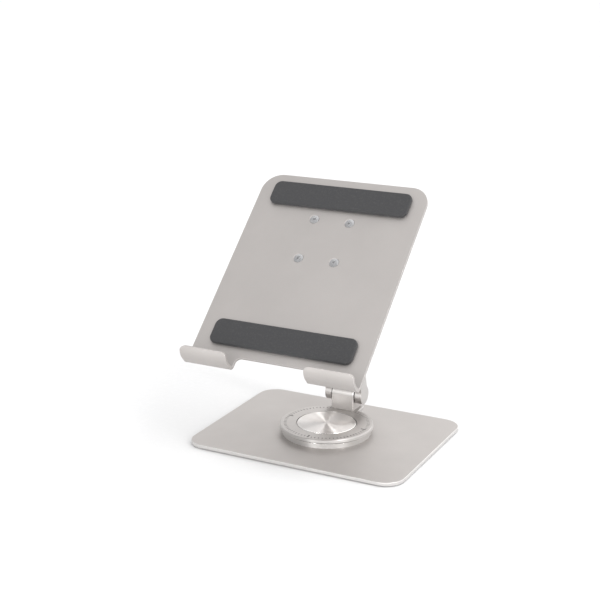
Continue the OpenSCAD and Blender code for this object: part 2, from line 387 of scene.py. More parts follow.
def bevelled(bm, width=EDGE_ROUND, steps=3, angle=34):
    """Rounds every edge sharper than angle."""
    bmesh.ops.remove_doubles(bm, verts=bm.verts, dist=0.01)
    bmesh.ops.dissolve_limit(bm, angle_limit=math.radians(0.2), verts=bm.verts, edges=bm.edges)
    bm.edges.ensure_lookup_table()
    return rounded_edges(bm, width, steps, angle)


BODIES = frame["record"]["behaviour"]["bodies"]
BODY_OF = {node: body for body, nodes in BODIES.items() for node in nodes}
SLOT_OF = {part["node"]: part["material_slot"] for part in frame["record"]["subparts"]}


def finish_piece(node, bm, place, materials):
    """Makes the piece that stands for a CAD node, rides on the node's body and has the given materials."""
    bm.transform(Matrix.Scale(MM, 4) @ place)
    bmesh.ops.recalc_face_normals(bm, faces=bm.faces)
    name = f"{node}_fine"
    mesh = bpy.data.meshes.new(name)
    bm.to_mesh(mesh)
    bm.free()
    mesh.polygons.foreach_set("use_smooth", [True] * len(mesh.polygons))
    mesh.set_sharp_from_angle(angle=math.radians(32))
    for material in materials:
        mesh.materials.append(material)
    obj = bpy.data.objects.new(name, mesh)
    bpy.context.scene.collection.objects.link(obj)
    weighted = obj.modifiers.new("flat faces", "WEIGHTED_NORMAL")
    weighted.keep_sharp = True
    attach(obj, BODY_OF[node])
    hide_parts(node)


# Materials -----------------------------------------------------------------------------------------
class Shader:
    """One material, with short ways to add and link its nodes."""

    def __init__(self, name, **values):
        self.material = bpy.data.materials.new(name)
        self.material.use_nodes = True
        self.tree = self.material.node_tree
        self.surface = self.tree.nodes["Principled BSDF"]
        self.place = self.add("ShaderNodeTexCoord").outputs["Object"]
        for socket, value in values.items():
            self.surface.inputs[socket.replace("_", " ")].default_value = value

    def add(self, kind, inputs=None, **settings):
        """A new node. Each input is a value or another node's output."""
        node = self.tree.nodes.new(kind)
        for key, value in settings.items():
            setattr(node, key, value)
        for key, value in (inputs or {}).items():
            if isinstance(value, bpy.types.NodeSocket):
                self.tree.links.new(value, node.inputs[key])
            else:
                node.inputs[key].default_value = value
        return node

    def noise(self, size, detail=3.0, vector=None):
        """Noise whose features are about size millimetres."""
        inputs = {"Vector": vector or self.place, "Scale": 1 / (size * MM), "Detail": detail}
        return self.add("ShaderNodeTexNoise", inputs).outputs["Fac"]

    def spread(self, value, low, high, from_low=0.3, from_high=0.7):
        """value from its middle range stretched to low..high."""
        inputs = {"Value": value, "From Min": from_low, "From Max": from_high, "To Min": low, "To Max": high}
        return self.add("ShaderNodeMapRange", inputs).outputs["Result"]

    def blend(self, factor, first, second):
        """A colour between two."""
        inputs = {0: factor, 6: first, 7: second}
        return self.add("ShaderNodeMix", inputs, data_type="RGBA").outputs[2]

    def maths(self, operation, first, second=0.0):
        """One step of arithmetic."""
        return self.add("ShaderNodeMath", {0: first, 1: second}, operation=operation).outputs[0]

    def bump(self, height, depth, normal=None):
        """Relief of depth millimetres."""
        inputs = {"Height": height, "Distance": depth * MM, "Strength": 1.0}
        if normal is not None:
            inputs["Normal"] = normal
        return self.add("ShaderNodeBump", inputs).outputs["Normal"]

    def radius(self):
        """Distance from the swivel's axis, in metres."""
        parts = self.add("ShaderNodeSeparateXYZ", {0: self.place}).outputs
        flat = self.add("ShaderNodeCombineXYZ", {0: parts[0], 1: parts[1]}).outputs[0]
        return self.add("ShaderNodeVectorMath", {0: flat}, operation="LENGTH").outputs["Value"]

    def across_the_grooves(self):
        """The direction that gloss spreads along, at right angles to grooves round the swivel's axis."""
        parts = self.add("ShaderNodeSeparateXYZ", {0: self.place}).outputs
        back = self.maths("MULTIPLY", parts[1], -1.0)
        groove = self.add("ShaderNodeCombineXYZ", {0: back, 1: parts[0]}).outputs[0]
        turn = self.add("ShaderNodeVectorTransform", {0: groove}, convert_from="OBJECT", convert_to="WORLD")
        normal = self.add("ShaderNodeNewGeometry").outputs["Normal"]
        sides = {0: normal, 1: turn.outputs[0]}
        across = self.add("ShaderNodeVectorMath", sides, operation="CROSS_PRODUCT").outputs[0]
        return self.add("ShaderNodeVectorMath", {0: across}, operation="NORMALIZE").outputs[0]

    def mottled(self, tone, rgb, low, high):
        """A metal's colour, between low and high times itself, as tone says."""
        return self.blend(self.spread(tone, 0, 1), scaled(rgb, low), scaled(rgb, high))

    def set(self, **sources):
        """Links outputs to the surface, and gives the finished material."""
        for socket, source in sources.items():
            self.tree.links.new(source, self.surface.inputs[socket.replace("_", " ")])
        return self.material


def colour(red, green, blue):
    """A solid colour."""
    return (red, green, blue, 1.0)


def scaled(rgb, factor):
    """A colour, brightened or darkened."""
    return colour(*(c * factor for c in rgb))


def blasted_metal(name, rgb, roughness, grain=0.3):
    """Bead-blasted, anodised aluminium: a fine grain, faint clouding, and handling marks in the gloss."""
    m = Shader(name, Metallic=1.0)
    cloud = m.noise(28, 2)
    speckle = m.noise(grain * 1.6, 2)
    tone = m.maths("ADD", m.maths("MULTIPLY", cloud, 0.7), m.maths("MULTIPLY", speckle, 0.3))
    handling = m.spread(m.noise(9, 4), -0.02, 0.02)
    sparkle = m.spread(speckle, roughness - 0.03, roughness + 0.03)
    grainy = m.bump(m.noise(grain, 2), 0.012)
    return m.set(
        Base_Color=m.mottled(tone, rgb, 0.97, 1.03),
        Roughness=m.maths("ADD", handling, sparkle),
        Normal=m.bump(m.noise(3.5, 2), 0.004, grainy),
    )


def edge_metal(name, rgb, roughness):
    """The same metal where an edge catches light: smoother, brighter and lightly worn."""
    m = Shader(name, Metallic=1.0)
    wear = m.noise(2.5, 3)
    return m.set(
        Base_Color=m.mottled(wear, rgb, 1.01, 1.06),
        Roughness=m.spread(wear, roughness + 0.015, roughness - 0.015),
        Normal=m.bump(m.noise(0.6, 2), 0.0004),
    )


def turned_metal(name, rgb, roughness, anisotropy, pitch, depth):
    """Lathe-turned aluminium: concentric grooves of that pitch and depth in millimetres."""
    m = Shader(name, Metallic=1.0, Anisotropic=anisotropy)
    radius = m.radius()
    wobble = m.maths("MULTIPLY", m.noise(7, 2), 0.35 * pitch * MM)
    phase = m.maths("MULTIPLY", m.maths("ADD", radius, wobble), 2 * math.pi / (pitch * MM))
    groove = m.maths("MULTIPLY", m.maths("SINE", phase), 0.5)
    bands = m.noise(0.5, 3, m.add("ShaderNodeCombineXYZ", {0: radius}).outputs[0])
    tone = m.maths("ADD", m.maths("MULTIPLY", bands, 0.6), m.maths("MULTIPLY", m.noise(5, 3), 0.4))
    return m.set(
        Base_Color=m.mottled(tone, rgb, 0.94, 1.05),
        Roughness=m.spread(bands, roughness - 0.03, roughness + 0.04),
        Normal=m.bump(m.maths("ADD", groove, m.noise(0.3, 2)), depth),
        Tangent=m.across_the_grooves(),
    )


def mark_metal():
    """The etched floor of a graduation."""
    m = Shader("etched_mark", Metallic=0.6)
    tone = m.noise(0.3, 3)
    return m.set(
        Base_Color=m.blend(tone, colour(0.14, 0.135, 0.13), colour(0.24, 0.23, 0.225)),
        Roughness=m.spread(tone, 0.5, 0.7),
        Normal=m.bump(tone, 0.01),
    )


def plated_steel():
    """Zinc-plated steel with fine random scratches."""
    m = Shader("plated_steel", Metallic=1.0)
    along = m.add("ShaderNodeMapping", {"Vector": m.place, "Scale": (1.0, 0.12, 1.0)}).outputs[0]
    scratches = m.noise(0.25, 4, along)
    cloud = m.noise(1.8, 3)
    return m.set(
        Base_Color=m.blend(m.spread(cloud, 0, 1), colour(0.46, 0.46, 0.47), colour(0.6, 0.6, 0.6)),
        Roughness=m.spread(scratches, 0.22, 0.42),
        Normal=m.bump(scratches, 0.004),
    )


def silicone():
    """Matt silicone with a fine moulded texture and a little dust."""
    m = Shader("grip_silicone", Sheen_Weight=0.15, Sheen_Roughness=0.5)
    grain = m.noise(0.35, 2)
    dust = m.spread(m.noise(0.9, 5), 0, 1, 0.5, 0.85)
    dark, pale = colour(0.026, 0.026, 0.028), colour(0.046, 0.045, 0.045)
    return m.set(
        Base_Color=m.blend(dust, dark, pale),
        Roughness=m.spread(grain, 0.58, 0.74),
        Normal=m.bump(grain, 0.006),
    )


def moulded_plastic(name, dark, pale, roughness):
    """Machined plastic, slightly mottled, with fine cutter lines."""
    m = Shader(name)
    cloud = m.noise(1.5, 3)
    along = m.add("ShaderNodeMapping", {"Vector": m.place, "Scale": (1.0, 1.0, 0.2)}).outputs[0]
    cutter = m.noise(0.12, 2, along)
    return m.set(
        Base_Color=m.blend(m.spread(cloud, 0, 1), dark, pale),
        Roughness=m.spread(cutter, roughness - 0.06, roughness + 0.06),
        Normal=m.bump(cutter, 0.006),
    )


WARM_SILVER = (0.515, 0.49, 0.474)
PALE_SILVER = (0.66, 0.645, 0.63)
HINGE_SILVER = (0.575, 0.555, 0.54)
BRIGHT_SILVER = (0.88, 0.87, 0.85)
CAP_SILVER = (0.8, 0.77, 0.75)

SATIN = blasted_metal("satin_aluminium", WARM_SILVER, 0.6)
SATIN_EDGE = edge_metal("satin_aluminium_edge", PALE_SILVER, 0.38)
TURNED = turned_metal("turned_aluminium", WARM_SILVER, 0.46, 0.5, 0.22, 0.003)
TURNED_EDGE = edge_metal("turned_aluminium_edge", PALE_SILVER, 0.2)
SPUN = turned_metal("spun_aluminium", CAP_SILVER, 0.4, 1.0, 0.12, 0.001)
SPUN_EDGE = edge_metal("spun_aluminium_edge", BRIGHT_SILVER, 0.16)
HINGE = blasted_metal("hinge_aluminium", HINGE_SILVER, 0.38, 0.22)
HINGE_EDGE = edge_metal("hinge_aluminium_edge", PALE_SILVER, 0.26)
RIM_WALL = turned_metal("turned_rim", PALE_SILVER, 0.42, 0.8, 0.22, 0.002)
MARK = mark_metal()
STEEL = plated_steel()
RUBBER = silicone()
ACETAL = moulded_plastic("slip_plastic", colour(0.7, 0.69, 0.65), colour(0.8, 0.79, 0.76), 0.42)
FRICTION = moulded_plastic("friction_plastic", colour(0.02, 0.02, 0.02), colour(0.045, 0.045, 0.045), 0.55)

# The materials of the faces, then of the edges, then of any marks
SATIN_FINISH = (SATIN, SATIN_EDGE)
RING_FINISH = (RIM_WALL, TURNED_EDGE)
DISC_FINISH = (TURNED, RIM_WALL, MARK)
CAP_FINISH = (SPUN, SPUN_EDGE)
HINGE_FINISH = (HINGE, HINGE_EDGE)
RUBBER_FINISH = (RUBBER, RUBBER)
STEEL_FINISH = (STEEL, STEEL)


# Base ----------------------------------------------------------------------------------------------
def seat_screw_holes(low, high, sink):
    """Cutters for the three screws that hold the seat ring, with an optional countersink at the bottom."""
    levels = [(low, SCREW_SINK), (low + SCREW_SINK_DEPTH, SCREW_HOLE)] if sink else [(low, SCREW_HOLE)]
    levels.append((high, SCREW_HOLE))
    turns = [math.radians(angle) for angle in SCREW_ANGLES]
    return [cone_z(SCREW_CIRCLE * math.cos(t), SCREW_CIRCLE * math.sin(t), levels) for t in turns]


def make_base_plate():
    """A round-cornered plate, with countersunk holes in its underside."""
    low, high = box_mm("base_plate")
    size = high - low
    plate = slab(size.x, size.y, PLATE_CORNER, low.z, high.z)
    bottom, top = low.z - PAST, high.z + PAST
    head = [(bottom, PIVOT_HEAD), (low.z + PIVOT_HEAD_DEPTH, PIVOT_HOLE)]
    pivot_hole = cone_z(0, 0, [*head, (top, PIVOT_HOLE)])
    plate = combined(plate, joined(pivot_hole, *seat_screw_holes(bottom, top, True)))
    finish_piece("base_plate", plate, AT_WORLD, SATIN_FINISH)


def make_base_pad():
    """The pad has a shallow moulded channel round its underside."""
    low, high = box_mm("base_pad")
    size = high - low
    near, far = PAD_CHANNEL
    deep, soft = 0.2, 0.2
    channel = [(far, 0), (far - deep, deep), (near + deep, deep), (near, 0)]
    rim = [(soft, 0), (0.3 * soft, 0.3 * soft), (0, soft), (0, size.z)]
    rings = []
    for inset, z in channel + rim:
        outline = round_rect(size.x - 2 * inset, size.y - 2 * inset, PAD_CORNER - inset)
        rings.append([(x, y, low.z + z) for x, y in outline])
    finish_piece("base_pad", stack(rings), AT_WORLD, RUBBER_FINISH)


def make_seat_ring():
    """The ring's top is stepped, which leaves a dark groove under the disc's rim."""
    low, high = box_mm("seat_ring")
    outer, inner = high.x, SEAT_BORE
    shoulder = high.z - SHADOW_GROOVE
    profile = rounded(
        [
            (inner, low.z, 0.1),
            (outer, low.z, 0.1),
            (outer, shoulder, 0.2),
            (outer - SEAT_STEP, shoulder, 0.1),
            (outer - SEAT_STEP, high.z, 0.1),
            (inner, high.z, 0.3),
        ]
    )
    holes = seat_screw_holes(low.z - PAST, low.z + SEAT_SCREW_REACH, False)
    ring = combined(revolve(profile), joined(*holes))
    finish_piece("seat_ring", ring, AT_WORLD, RING_FINISH)


# Turntable -----------------------------------------------------------------------------------------
def block_screw_places():
    """(x, y) of the two screws that hold the hinge block to the disc."""
    return [(side * BLOCK_SCREWS[0], LOWER_AXIS.y + BLOCK_SCREWS[1]) for side in (-1, 1)]


def disc_profile(low, top, outer):
    """Half of the disc's section, with extra points on its top where the graduations start and end.

    The corners that the slices leave out only aim the sides of their neighbours.
    """
    rim_low = top - RIM_THICK
    hub_floor = low + HUB_FLOOR
    long_start = LONG_TICK_SPAN[0]
    start, end = TICK_SPAN
    stops = [end + TICK_END_WALL, end, start, start - TICK_END_WALL, long_start, long_start - TICK_END_WALL]
    under_and_rim = rounded(
        [
            (PIVOT_BORE, low, 0.1),
            (HUB, low, 0.2),
            (HUB, rim_low, 0),
            (outer, rim_low, 0.2),
            (outer, top - RIM_CHAMFER, 0.15),
            (outer - RIM_CHAMFER, top, 0.15),
            (CAP_SEAT + 0.4, top, 0),
        ]
    )[:-1]
    top_face = [(r, top, -1) for r in (*stops, CAP_SEAT + 0.15)]
    well = rounded(
        [
            (CAP_SEAT + 0.2, top, 0),
            (CAP_SEAT, top, 0.12),
            (CAP_SEAT, top - CAP_SEAT_DEPTH, 0),
            (WELL, top - CAP_SEAT_DEPTH, 0.1),
            (WELL, hub_floor, 0),
            (PIVOT_BORE, hub_floor, 0.1),
            (PIVOT_BORE, low + 0.3, 0),
        ]
    )[1:-1]
    return under_and_rim + top_face + well


def tick_angles():
    """The columns' angles: two walls and two sides of the floor for each graduation, and one after it."""
    angles = []
    for middle in range(0, 360, TICK_STEP):
        half = TICK_HALF_ANGLE if middle % 90 else QUARTER_HALF_ANGLE
        wall = half + TICK_WALL_ANGLE
        angles += [middle - wall, middle - half, middle + half, middle + wall, middle + TICK_STEP / 2]
    return angles


def make_swivel_disc():
    """The disc has a graduation at every TICK_STEP degrees, longer and wider at each quarter turn."""
    low, high = box_mm("swivel_disc")
    outer, top = high.x, high.z
    rim_low = top - RIM_THICK
    profile = disc_profile(low.z, top, outer)
    near = 0.001

    def in_span(column, k):
        """Whether a point is where its column's graduation is cut."""
        quarter = column // TICK_COLUMNS * TICK_STEP % 90 == 0
        start, end = LONG_TICK_SPAN if quarter else TICK_SPAN
        return profile[k][1] > top - near and start - near <= profile[k][0] <= end + near

    def lift(column, k):
        """Sinks the points on a graduation's floor."""
        on_floor = column % TICK_COLUMNS in (1, 2)
        return -TICK_DEPTH if on_floor and in_span(column, k) else 0

    def finish(column, k):
        """Marks the faces inside a graduation, and gives the rim's wall the edge finish."""
        after = (k + 1) % len(profile)
        if column % TICK_COLUMNS < 3 and in_span(column, k) and in_span(column, after):
            return MARKED
        on_wall = min(profile[k][0], profile[after][0]) > outer - near
        return EDGE if on_wall else None

    disc = revolve(profile, tick_angles(), lift, finish)
    tongue = slab(2 * TONGUE_HALF, high.y - TONGUE_FRONT, TONGUE_CORNER, rim_low, top, 0.3)
    tongue = moved(tongue, Matrix.Translation((0, (high.y + TONGUE_FRONT) / 2, 0)))
    disc = combined(disc, tongue, "UNION")
    sink = [(rim_low - PAST, SCREW_SINK), (rim_low + SCREW_SINK_DEPTH, SCREW_HOLE)]
    holes = [cone_z(x, y, [*sink, (top + PAST, SCREW_HOLE)]) for x, y in block_screw_places()]
    disc = combined(disc, joined(*holes))
    finish_piece("swivel_disc", disc, AT_WORLD, DISC_FINISH)


def make_centre_cap():
    """A spun cover, with a skirt that reaches down into the disc's well."""
    low, high = box_mm("centre_cap")
    seat = high.z - CAP_SEAT_DEPTH
    gap = 0.03
    lip = WELL - gap
    profile = rounded(
        [
            (0, seat, 0),
            (lip - CAP_WALL, seat, 0),
            (lip - CAP_WALL, low.z, 0.1),
            (lip, low.z, 0.2),
            (lip, seat, 0),
            (high.x, seat, 0.2),
            (high.x, high.z, 0.35),
            (0, high.z, 0),
        ]
    )
    finish_piece("centre_cap", revolve(profile), AT_WORLD, CAP_FINISH)


def make_hinge_block():
    """The block stands on a slightly smaller foot, which leaves a dark seam above the disc's lug."""
    low, high = box_mm("hinge_block")
    half = (high.y - low.y) / 2
    y, z = LOWER_AXIS.y, LOWER_AXIS.z
    seam_top = low.z + SEAM
    outline = [(low.y, seam_top), (high.y, seam_top), *arc((y, z), half, 0, 180, 48)]
    block = bevelled(prism_x(outline, low.x, high.x), BLOCK_ROUND)
    corner, edge, overlap = 0.5, 0.05, 1
    width, depth = high.x - low.x - 2 * SEAM, 2 * half - 2 * SEAM
    foot = slab(width, depth, corner, low.z, seam_top + overlap, edge)
    block = combined(block, moved(foot, Matrix.Translation((0, y, 0))), "UNION")
    hole = [(low.z - PAST, SCREW_HOLE), (low.z + BLOCK_SCREW_REACH, SCREW_HOLE)]
    holes = [cone_z(hole_x, hole_y, hole) for hole_x, hole_y in block_screw_places()]
    block = combined(block, joined(rod_x(PIN_BORE, low.x - 1, high.x + 1, y, z), *holes))
    finish_piece("hinge_block", block, AT_WORLD, HINGE_FINISH)


# Arm -----------------------------------------------------------------------------------------------
def make_arm():
    """A plate with a fork at each end, whose ears have bores for the pins and sinks for the end caps."""
    arm = prism_x(arm_outline(), -EAR_OUT, EAR_OUT)
    cutters = []
    for z in (0, ARM_LENGTH):
        cutters.append(rod_x(ARM_BORE, -EAR_OUT - 1, EAR_OUT + 1, 0, z))
        cutters.append(rod_x(SINK_RADIUS, SINK_FLOOR, EAR_OUT + 1, 0, z))
        cutters.append(rod_x(SINK_RADIUS, -EAR_OUT - 1, -SINK_FLOOR, 0, z))
    arm = combined(arm, joined(*cutters))
    reach = 10
    forks = []
    for z0, z1 in ((-reach, FORK_DEPTH), (ARM_LENGTH - FORK_DEPTH, ARM_LENGTH + reach)):
        forks.append(prism_x([(-reach, z0), (reach, z0), (reach, z1), (-reach, z1)], -EAR_IN, EAR_IN))
    arm = combined(arm, joined(*forks))
    finish_piece("arm", bevelled(arm), AT_ARM, HINGE_FINISH)


def make_end_caps(which, z):
    """A turned disc in each ear, a hair below the ear's face, with a fine groove near its rim."""
    gap, thick = 0.06, 0.72
    radius = SINK_RADIUS - gap
    groove, groove_half, groove_depth = radius - 1.0, 0.1, 0.08
    profile = rounded(
        [
            (0, 0, 0),
            (radius, 0, 0.05),
            (radius, thick, 0.22),
            (groove + groove_half, thick, 0),
            (groove, thick - groove_depth, 0),
            (groove - groove_half, thick, 0),
            (0, thick, 0),
        ]
    )
    cap = moved(revolve(profile, full_turn(64)), Matrix.Rotation(math.radians(90), 4, "Y"))
    cap = moved(cap, Matrix.Translation((EAR_OUT - END_CAP, 0, z)))
    finish_piece(f"{which}_end_caps", mirrored_x(cap), AT_ARM, HINGE_FINISH)


# Cradle --------------------------------------------------------------------------------------------
def bracket_screw_places():
    """(x, z) of the four screws that hold the cradle plate to its bracket, in the cradle's frame."""
    x, z = BRACKET_SCREWS
    return [(sx * x, sz * z) for sx in (-1, 1) for sz in (-1, 1)]


def make_hinge_bracket():
    """A flange against the cradle plate, blended into the upper hinge's knuckle."""
    flange_face = PLATE_REAR + FLANGE_THICK
    buried = flange_face - FLANGE_THICK / 2
    straight = 0.1
    foot = EAR_RADIUS + KNUCKLE_BLEND + straight
    outline = rounded(
        [
            (buried, -foot, 0),
            (flange_face, -foot, 0),
            (flange_face, -EAR_RADIUS, KNUCKLE_BLEND),
            (EAR_RADIUS, -EAR_RADIUS, EAR_RADIUS - 0.001),
            (EAR_RADIUS, EAR_RADIUS, EAR_RADIUS - 0.001),
            (flange_face, EAR_RADIUS, KNUCKLE_BLEND),
            (flange_face, foot, 0),
            (buried, foot, 0),
        ],
        16,
    )
    knuckle = prism_x([(y, z) for y, z, _ in outline], -KNUCKLE_HALF, KNUCKLE_HALF)
    bore = rod_x(PIN_BORE, -KNUCKLE_HALF - 1, KNUCKLE_HALF + 1)
    knuckle = bevelled(combined(knuckle, bore))
    flange = moved(slab(*FLANGE, -flange_face, -PLATE_REAR), UPRIGHT)
    bracket = combined(flange, knuckle, "UNION")
    thread = 2.5
    hole = [(-PLATE_REAR - thread, BRACKET_SCREW_HOLE), (-PLATE_REAR + PAST, BRACKET_SCREW_HOLE)]
    holes = [cone_z(x, z, hole) for x, z in bracket_screw_places()]
    bracket = combined(bracket, moved(joined(*holes), UPRIGHT))
    finish_piece("hinge_bracket", bracket, AT_CRADLE, HINGE_FINISH)


# Lengths along the cradle sheet's outer face, and places on it from the plate's top edge
PLATE_RUN = PLATE_TOP - HOOK_LOW - HEEL
HEEL_RUN = HEEL * math.pi / 2
SHELF_RUN = PLATE_REAR - HEEL - TOE_Y
TOE_RUN = TOE * math.radians(LIP_TURN)
NOTCH_START = PLATE_TOP - PLATE_EDGE
HEEL_END = PLATE_RUN + HEEL_RUN
SHELF_END = HEEL_END + SHELF_RUN
HOOK_END = SHELF_END + TOE_RUN + TIP


def on_path(run, depth):
    """(y, z) at a distance along the sheet's outer face and a depth into the sheet.

    The distance runs from the plate's top edge down, and round the hook to its tip.
    """
    if run <= PLATE_RUN:
        return PLATE_REAR - depth, PLATE_TOP - run
    run -= PLATE_RUN
    if run <= HEEL_RUN:
        turn = -run / HEEL
        radius = HEEL - depth
        return PLATE_REAR - HEEL + radius * math.cos(turn), HOOK_LOW + HEEL + radius * math.sin(turn)
    run -= HEEL_RUN
    if run <= SHELF_RUN:
        return PLATE_REAR - HEEL - run, HOOK_LOW + depth
    run -= SHELF_RUN
    turn = min(run / TOE, math.radians(LIP_TURN))
    past = max(run - TOE_RUN, 0)
    radius = TOE - depth
    y = TOE_Y - radius * math.sin(turn) - past * math.cos(turn)
    z = HOOK_LOW + TOE - radius * math.cos(turn) + past * math.sin(turn)
    return y, z


def steps_between(start, end, count):
    """Even steps from start to end, both included."""
    return [start + (end - start) * i / count for i in range(count + 1)]


def corner_steps(start, radius, count, way=1):
    """Steps that follow a round corner of the sheet, from where it starts. A way of -1 goes back."""
    turns = [math.radians(90 * i / count) for i in range(count + 1)]
    return [start + way * radius * (1 - math.cos(turn)) for turn in turns]


def rows_of(*groups):
    """The distances of all the groups in order, each once."""
    return sorted({round(run, 6) for group in groups for run in group})


def bent_sheet(rows, strips, near, far):
    """A sheet along the hook's path, between two depths.

    strips(run) lists each strip's x places at that distance along the path.
    """
    bm = bmesh.new()
    skins = ({}, {})
    keys = {}

    def vert(side, x, run):
        """A skin's vertex at a place, made once."""
        key = (round(x, 4), round(run, 4))
        if key not in skins[side]:
            skins[side][key] = bm.verts.new((x, *on_path(run, (near, far)[side])))
            keys[skins[side][key]] = key
        return skins[side][key]

    for above, below in zip(rows, rows[1:]):
        for a, b in zip(strips(above), strips(below)):
            if not (a and b):
                continue
            for i in range(len(a) - 1):
                corners = [(a[i], above), (a[i + 1], above), (b[i + 1], below), (b[i], below)]
                bm.faces.new([vert(0, *c) for c in corners])
                bm.faces.new([vert(1, *c) for c in reversed(corners)])
    outer = set(skins[0].values())
    for edge in [e for e in bm.edges if e.is_boundary and e.verts[0] in outer]:
        first, second = edge.verts
        bm.faces.new((first, second, skins[1][keys[second]], skins[1][keys[first]]))
    bmesh.ops.recalc_face_normals(bm, faces=bm.faces)
    return bm


def corner_cut(distance, radius):
    """How far a round corner pulls the side in, at a distance from the end of the sheet."""
    gone = max(radius - distance, 0)
    return radius - math.sqrt(radius**2 - gone**2)


def cradle_strips(run):
    """x places of the left hook, the plate's middle and the right hook."""
    out = HOOK_OUT - corner_cut(run, PLATE_CORNER) - corner_cut(HOOK_END - run, LIP_CORNER)
    inner = HOOK_IN - NOTCH_FILLET
    middle = steps_between(-inner, inner, 10)
    if run > NOTCH_START + 1e-6:
        middle = None
        rise = max(NOTCH_FILLET - (run - NOTCH_START), 0)
        inner += math.sqrt(NOTCH_FILLET**2 - rise**2)
        inner += corner_cut(HOOK_END - run, LIP_CORNER)
    right = steps_between(inner, out, 10)
    left = [-x for x in reversed(right)]
    return left, middle, right


def make_cradle_plate():
    """The back plate and both hooks, bent from one sheet, with countersunk holes for the bracket's screws."""
    rows = rows_of(
        corner_steps(0, PLATE_CORNER, 10),
        steps_between(PLATE_CORNER, NOTCH_START, 8),
        corner_steps(NOTCH_START, NOTCH_FILLET, 6),
        steps_between(PLATE_RUN, HEEL_END, 14),
        steps_between(HEEL_END, SHELF_END, 3),
        steps_between(HOOK_END - TIP - TOE_RUN, HOOK_END - TIP, 16),
        corner_steps(HOOK_END, LIP_CORNER, 8, -1),
    )
    plate = bent_sheet(rows, cradle_strips, 0, SHEET)
    plate = rounded_edges(plate, SHEET_ROUND, 3, 60)
    front, back = -PLATE_REAR + SHEET, -PLATE_REAR
    sink, sink_depth = 2.85, 1.3
    hole = [(back - PAST, BRACKET_SCREW_HOLE), (front - sink_depth, BRACKET_SCREW_HOLE)]
    levels = [*hole, (front, sink), (front + PAST, sink + PAST)]
    holes = moved(joined(*[cone_z(x, z, levels) for x, z in bracket_screw_places()]), UPRIGHT)
    plate = combined(plate, holes)
    finish_piece("cradle_plate", plate, AT_CRADLE, SATIN_FINISH)


def make_back_pad(node):
    """A silicone strip with softly rounded edges on the cradle plate's front."""
    to_local = AT_CRADLE.inverted()
    low, high = box_mm(node)
    middle = to_local @ ((low + high) / 2)
    pad = slab(*BACK_PAD, 0, PAD_THICK, BACK_PAD_ROUND, 5)
    pad = moved(pad, Matrix.Translation((0, PLATE_REAR - SHEET, middle.z)) @ UPRIGHT)
    finish_piece(node, pad, AT_CRADLE, RUBBER_FINISH)


def make_hook_liner(side):
    """A thin silicone strip on the inside of a hook, which stops a little short of the lip's edge."""
    inset, thick, corner, soft = 1.2, 0.7, 1.6, 0.25
    short = 6
    start = HEEL_END
    end = HOOK_END - TIP - TOE * math.radians(short)
    low, high = HOOK_IN + inset, HOOK_OUT - inset

    def strips(run):
        """x places of the liner, which is pulled in at its round corners."""
        pull = corner_cut(run - start, corner) + corner_cut(end - run, corner)
        return [steps_between(low + pull, high - pull, 6)]

    rows = rows_of(
        corner_steps(start, corner, 6),
        steps_between(SHELF_END, end, 16),
        corner_steps(end, corner, 6, -1),
    )
    liner = rounded_edges(bent_sheet(rows, strips, SHEET, SHEET + thick), soft, 3, 60)
    if side == "left":
        liner = moved(liner, Matrix.Scale(-1, 4, (1, 0, 0)))
    node = f"{side}_hook_liner"
    finish_piece(node, liner, AT_CRADLE, RUBBER_FINISH)


def make_bracket_screws():
    """Four countersunk screws with hexagon sockets."""
    head, shank, length, sink = 2.75, 1.48, 3.8, 1.2
    socket, socket_depth = 1.0, 1.0
    neck = length - sink
    profile = rounded([(0, 0, 0), (shank, 0, 0.15), (shank, neck, 0), (head, length, 0.1), (0, length, 0)])
    screws = []
    for x, z in bracket_screw_places():
        screw = revolve(profile, full_turn(48))
        hexagon = cone_z(0, 0, [(length - socket_depth, socket), (length + PAST, socket)], 6)
        screws.append(moved(combined(screw, hexagon), Matrix.Translation((x, z, 0))))
    front = PLATE_REAR - SHEET + length
    place = Matrix.Translation((0, front, 0)) @ UPRIGHT
    finish_piece("bracket_screws", moved(joined(*screws), place), AT_CRADLE, STEEL_FINISH)


SHOWN_AS_DRAWN = {
    "fastener_steel": STEEL,
    "slip_plastic": ACETAL,
    "friction_plastic": FRICTION,
}


def finish_inner_nodes():
    """The hardware inside the swivel and the hinges keeps its CAD shape and takes its slot's material."""
    for node, slot in SLOT_OF.items():
        if slot in SHOWN_AS_DRAWN and node != "bracket_screws":
            slots = frame["nodes"][node].data.materials
            slots.clear()
            slots.append(SHOWN_AS_DRAWN[slot])


# Stage, with angles in degrees and lengths in metres -----------------------------------------------
CAMERA_AZIMUTH = 26.93
CAMERA_ELEVATION = 16.45
CAMERA_ROLL = 0.22
CAMERA_DISTANCE = 0.7405
CAMERA_AIM = (-0.0152, 0.0740)
CAMERA_LENS = 79.08
LIGHT_AIM = 0.05
FLOOR_HALF = 15
# Where the floor's painted shade round the stand fades out: from and to, out from the swivel's axis
FLOOR_SHADE_FADE = (0.1, 0.5)


def direction(azimuth, elevation):
    """Unit vector towards a place seen from the stand: azimuth 0 is in front and 90 to the right."""
    a, e = math.radians(azimuth), math.radians(elevation)
    return Vector((math.sin(a) * math.cos(e), -math.cos(a) * math.cos(e), math.sin(e)))


